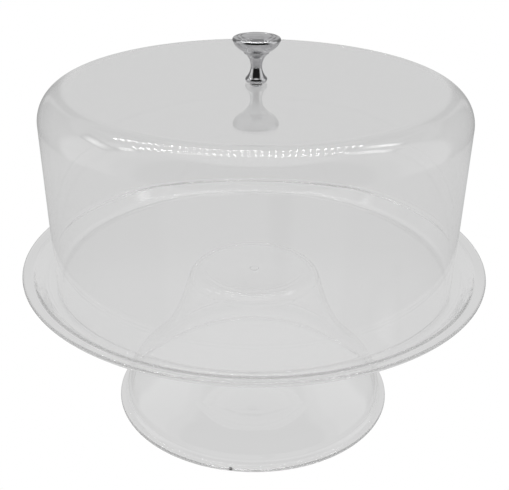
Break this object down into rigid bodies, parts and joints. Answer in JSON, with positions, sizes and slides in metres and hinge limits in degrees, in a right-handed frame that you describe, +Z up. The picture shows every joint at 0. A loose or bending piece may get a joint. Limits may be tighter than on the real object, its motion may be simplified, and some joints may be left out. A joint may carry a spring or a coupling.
{
  "type": "cake stand with dome cover",
  "caption": "Clear pedestal cake stand: a round plate bonded to a hollow bell foot, under a lift-off flat-topped dome cover with a turned metal knob.",
  "frame": {"origin": "centre of the foot's underside, on the surface that the stand rests on", "axes": "+Z up along the stand's axis of revolution, towards the knob; X and Y are equal"},
  "size_m": [0.33, 0.33, 0.2757],
  "materials": {
    "cover_acrylic": "clear polished acrylic",
    "stand_acrylic": "clear polished acrylic with light use marks",
    "knob_chrome": "polished plated die casting",
    "screw_steel": "zinc plated",
    "washer_nylon": "translucent natural nylon"
  },
  "bodies": {
    "stand": {"cake_plate": "stand_acrylic", "pedestal": "stand_acrylic"},
    "cover": {"dome_cover": "cover_acrylic", "knob": "knob_chrome", "knob_screw": "screw_steel", "screw_washer": "washer_nylon"}
  },
  "joints": [
    {"name": "cover_lift", "type": "slide", "parent": "stand", "child": "cover", "axis": [0, 0, 1], "range_m": [0, 0.15]}
  ]
}
